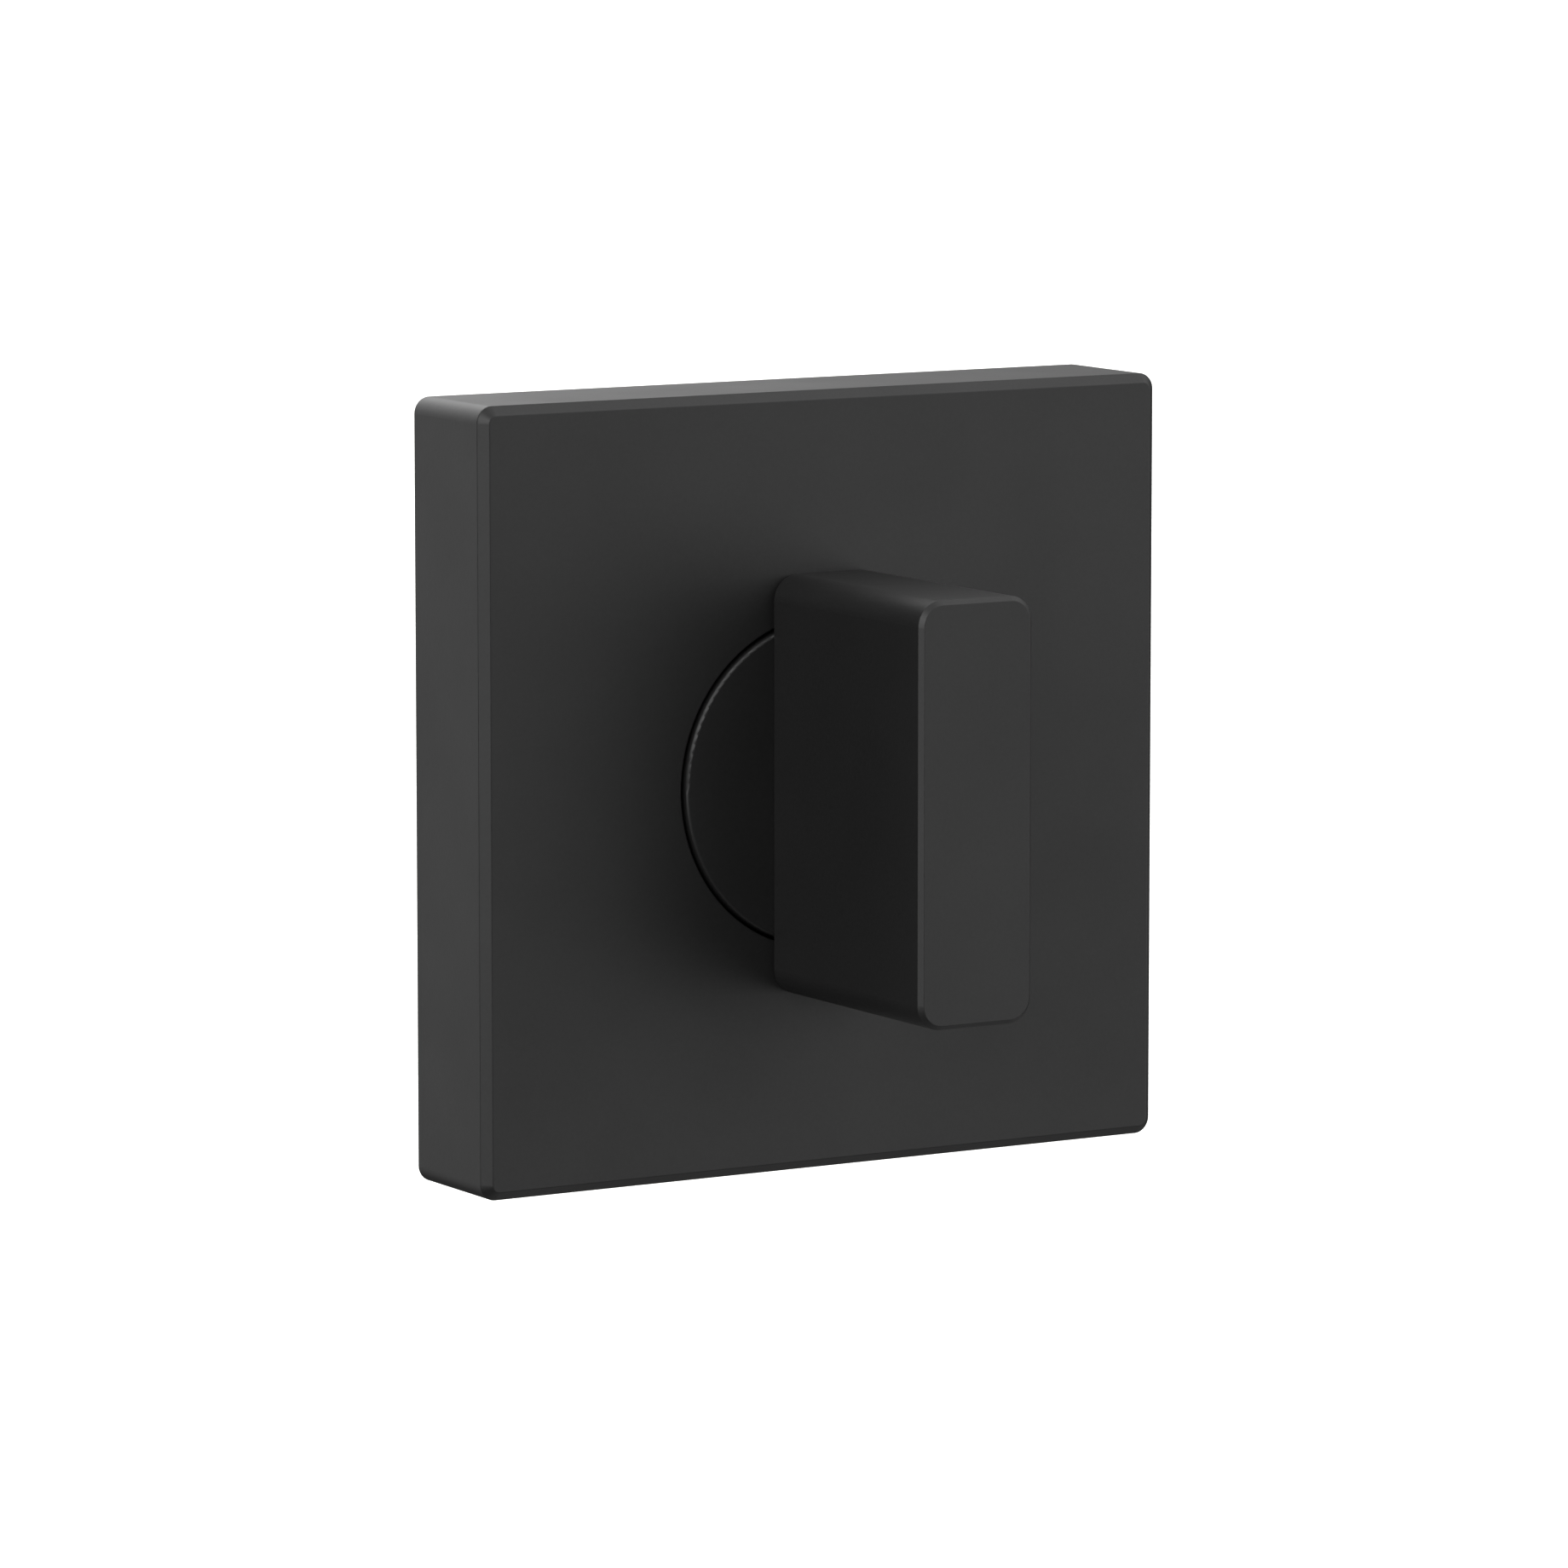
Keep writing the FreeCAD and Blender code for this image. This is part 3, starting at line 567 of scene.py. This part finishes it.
@dataclass
class FixingScrews(SubAssembly):
    """The two countersunk screws, with rolled threads and cross recesses."""

    thread_radius: float = 2.0 * MM
    core_radius: float = 1.56 * MM
    shank_radius: float = 1.75 * MM
    head_radius: float = 3.75 * MM
    head_rim: float = 0.2 * MM
    pitch: float = 0.7 * MM
    thread_clear_of_sleeve: float = 2.0 * MM
    tip_chamfer: float = 0.5 * MM
    recess_reach: float = 1.9 * MM
    recess_depth: float = 1.7 * MM
    recess_floor_share: float = 0.4
    wing_half_angle: float = math.radians(15)
    around: int = 48
    # each corner of the thread's profile, as its share of the pitch and its share of the height
    profile: tuple[tuple[float, float], ...] = ((0.0, 0.0), (0.12, 0.0), (0.5, 1.0), (0.62, 1.0))
    sharp_from: float = math.radians(32)

    def build(self) -> None:
        """Builds a screw on each of the two axes."""
        low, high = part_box("fixing_screws")
        sleeve_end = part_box("support_sleeve_upper")[1].y
        axes = {
            Height.UPPER: high.z - self.head_radius,
            Height.LOWER: low.z + self.head_radius,
        }
        for height, axis in axes.items():
            name = f"fixing_screw_{height.value}"
            mesh = self.screw_mesh(name, high.y - low.y, sleeve_end - low.y)
            screw = bpy.data.objects.new(mesh.name, mesh)
            bpy.context.scene.collection.objects.link(screw)
            screw.location = (0.0, low.y, axis)
            screw.data.materials.append(self.paintshop.materials[Slot.SCREW_STEEL])
            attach(screw, Body.ROSE.value)
            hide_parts("fixing_screws")
            logger.info("built %s with %d faces", screw.name, len(mesh.polygons))

    def screw_mesh(self, name: str, length: float, sleeve_end: float) -> bpy.types.Mesh:
        """Makes one screw along +Y, with the face of its head at y = 0.

        Args:
            name: the mesh's name.
            length: from the head's face to the tip.
            sleeve_end: where the sleeve round the shank ends.

        Returns:
            A closed mesh.
        """
        draft = MeshDraft()
        recess_floor = self.recess_reach * self.recess_floor_share
        cone_end = self.head_rim + self.head_radius - self.shank_radius
        thread_start = sleeve_end + self.thread_clear_of_sleeve
        draft.skin(
            [
                self.ring(draft, self.recess_depth, 0.0),
                self.cross(draft, self.recess_depth, recess_floor),
                self.cross(draft, 0.0, self.recess_reach),
                self.ring(draft, 0.0, self.head_radius),
                self.ring(draft, self.head_rim, self.head_radius),
                self.ring(draft, cone_end, self.shank_radius),
                self.ring(draft, thread_start, self.shank_radius),
                self.ring(draft, thread_start, self.core_radius),
            ]
        )
        self.roll_thread(draft, thread_start, length)
        tip_radius = self.thread_radius - self.tip_chamfer
        draft.skin([self.ring(draft, length, tip_radius), self.ring(draft, length, 0.0)])
        return draft.mesh(name, self.sharp_from)

    def at(self, y: float, radius: float, step: int) -> Place:
        """The place at a step round the screw's axis, right-handed about +Y."""
        angle = math.tau * step / self.around
        return (radius * math.sin(angle), y, radius * math.cos(angle))

    def ring(self, draft: MeshDraft, y: float, radius: float) -> list[int]:
        """The points of a circle round the screw's axis."""
        return [draft.point(self.at(y, radius, step)) for step in range(self.around)]

    def cross(self, draft: MeshDraft, y: float, reach: float) -> list[int]:
        """Adds the outline of a cross.

        Args:
            draft: the mesh under construction.
            y: its place along the screw.
            reach: from the axis to the end of a wing.

        Returns:
            Its points, one for each step round the axis.
        """
        wing_half = reach * math.tan(self.wing_half_angle)
        points = []
        for step in range(self.around):
            turned = math.tau * step / self.around + RIGHT_ANGLE / 2
            off_wing = abs(turned % RIGHT_ANGLE - RIGHT_ANGLE / 2)
            if off_wing <= self.wing_half_angle + ANGLE_SLACK:
                radius = reach / math.cos(off_wing)
            else:
                radius = wing_half / math.sin(off_wing)
            points.append(draft.point(self.at(y, radius, step)))
        return points

    def roll_thread(self, draft: MeshDraft, start: float, end: float) -> None:
        """Winds the thread along the core.

        Args:
            draft: the mesh under construction.
            start: where the thread starts along the screw.
            end: the tip's place.
        """
        turns = math.ceil((end - start) / self.pitch) + 1
        for step in range(turns * self.around):
            for mark in range(len(self.profile)):
                corners = ((step, mark), (step + 1, mark), (step + 1, mark + 1), (step, mark + 1))
                places = [self.on_thread(*corner, start, end) for corner in corners]
                draft.face(*(draft.point(place) for place in places))

    def on_thread(self, step: int, mark: int, start: float, end: float) -> Place:
        """Finds a corner of the thread's profile as it winds round the core.

        Args:
            step: how many steps round the axis the profile has gone.
            mark: the corner's number on the profile, where the last one is the next turn's first.
            start: where the thread starts along the screw.
            end: the tip's place.

        Returns:
            The corner's place, held between the thread's start and the tip.
        """
        later_turns, corner = divmod(mark, len(self.profile))
        share, rise = self.profile[corner]
        turns = step / self.around + later_turns + share - 1
        y = min(max(start + turns * self.pitch, start), end)
        run_out = min(1.0, (y - start) / self.pitch)
        radius = self.core_radius + (self.thread_radius - self.core_radius) * rise * run_out
        tip_radius = self.thread_radius - self.tip_chamfer + end - y
        return self.at(y, min(radius, tip_radius), step)


@dataclass(frozen=True)
class SoftBox:
    """A soft light far away, full inside its inner angle and faded out at its outer one."""

    name: str
    toward: Place
    inner_degrees: float
    outer_degrees: float
    strength: float

    def lit(self, tree: bpy.types.NodeTree, direction: Socket) -> Socket:
        """Works out the light that comes from a direction.

        Args:
            tree: the sky's node tree.
            direction: the socket that gives the direction.

        Returns:
            The socket of this light's share.
        """
        axis = Vector(self.toward).normalized()
        settings = {"operation": "DOT_PRODUCT", 1: tuple(axis)}
        near = add_node(tree, "ShaderNodeVectorMath", settings, {0: direction})
        fade = add_node(
            tree,
            "ShaderNodeMapRange",
            {
                "interpolation_type": "SMOOTHSTEP",
                "From Min": math.cos(math.radians(self.outer_degrees)),
                "From Max": math.cos(math.radians(self.inner_degrees)),
                "To Max": self.strength,
            },
            {"Value": near.outputs["Value"]},
        )
        return fade.outputs["Result"]


@dataclass
class Studio:
    """A white floor, soft lights in a dim room, and the camera."""

    floor_half: float = 8000.0 * MM
    floor_drop: float = 100.0 * MM
    room_strength: float = 0.06
    backdrop_strength: float = 1.05
    soft_boxes: tuple[SoftBox, ...] = (
        SoftBox("overhead", (0.2, 0.1, 1.0), 25, 65, 0.93),
        SoftBox("left_front", (-0.80, -0.45, 0.33), 12, 34, 4.4),
        SoftBox("right_front", (0.74, -0.60, 0.33), 25, 55, 1.44),
        SoftBox("left_back", (-0.51, 0.85, -0.10), 10, 35, 0.56),
        SoftBox("left_high", (-0.78, 0.05, 0.58), 14, 36, 0.2),
        SoftBox("right_back", (0.08, 0.95, 0.26), 8, 30, 3.55),
        SoftBox("high_back", (-0.12, 0.85, 0.55), 15, 40, 0.3),
        SoftBox("floor_bounce", (0.3, 0.1, -0.95), 20, 55, 0.28),
    )
    azimuth: float = math.radians(-30.80)
    elevation: float = math.radians(7.555)
    distance: float = 564.63 * MM
    aim: Place = (-0.590 * MM, -4.6 * MM, -0.681 * MM)
    lens_mm: float = 194.27
    sensor_mm: float = 36.0

    def set_up(self) -> None:
        """Builds the whole studio."""
        self.lay_floor()
        self.hang_lights()
        self.place_camera()

    def lay_floor(self) -> None:
        """Lays the floor's paper, flagged off so that the part neither mirrors nor is lit by it."""
        half = self.floor_half
        height = cad_box[0].z - self.floor_drop
        sides = ((-half, -half), (half, -half), (half, half), (-half, half))
        corners = [(x, y, height) for x, y in sides]
        mesh = bpy.data.meshes.new("studio_floor")
        mesh.from_pydata(corners, [], [(0, 1, 2, 3)])
        mesh.materials.append(StudioPaper().material())
        floor = bpy.data.objects.new("studio_floor", mesh)
        bpy.context.scene.collection.objects.link(floor)
        floor.visible_glossy = False
        floor.visible_diffuse = False
        floor.visible_shadow = False
        logger.info("laid %s", floor.name)

    def hang_lights(self) -> None:
        """Makes the room with its soft lights, which the camera sees as a plain white backdrop."""
        world = bpy.data.worlds.new("studio_room")
        world.use_nodes = True
        tree = world.node_tree
        tree.nodes.clear()
        direction = add_node(tree, "ShaderNodeTexCoord").outputs["Generated"]
        light = add_node(tree, "ShaderNodeValue").outputs["Value"]
        light.default_value = self.room_strength
        for box in self.soft_boxes:
            both = {0: light, 1: box.lit(tree, direction)}
            light = add_node(tree, "ShaderNodeMath", {"operation": "ADD"}, both).outputs["Value"]
            logger.info("hung soft box %s", box.name)
        room = add_node(tree, "ShaderNodeBackground", links={"Strength": light})
        backdrop = add_node(tree, "ShaderNodeBackground", {"Strength": self.backdrop_strength})
        for background in (room, backdrop):
            background.inputs["Color"].default_value = linear("#ffffff")
        seen = add_node(tree, "ShaderNodeLightPath").outputs["Is Camera Ray"]
        mixed = {0: seen, 1: room.outputs["Background"], 2: backdrop.outputs["Background"]}
        mix = add_node(tree, "ShaderNodeMixShader", links=mixed)
        add_node(tree, "ShaderNodeOutputWorld", links={"Surface": mix.outputs["Shader"]})
        bpy.context.scene.world = world

    def place_camera(self) -> None:
        """Aims the camera at the part."""
        scene = bpy.context.scene
        level = math.cos(self.elevation)
        x = math.sin(self.azimuth) * level
        y = -math.cos(self.azimuth) * level
        away = Vector((x, y, math.sin(self.elevation)))
        data = bpy.data.cameras.new("camera")
        data.lens = self.lens_mm
        data.sensor_width = self.sensor_mm
        camera = bpy.data.objects.new("camera", data)
        scene.collection.objects.link(camera)
        camera.location = Vector(self.aim) + away * self.distance
        camera.rotation_euler = away.to_track_quat("Z", "Y").to_euler()
        scene.camera = camera
        scene.view_settings.view_transform = "Standard"
        logger.info("placed %s", camera.name)


def main() -> None:
    """Builds and dresses the part, and sets it in the studio."""
    logging.basicConfig(level=logging.INFO, format="%(name)s: %(message)s")
    paintshop = Paintshop()
    paintshop.open()
    for assembly in (Rose(paintshop), ThumbTurn(paintshop), FixingScrews(paintshop)):
        assembly.build()
    Studio().set_up()


if __name__ == "__main__":
    main()
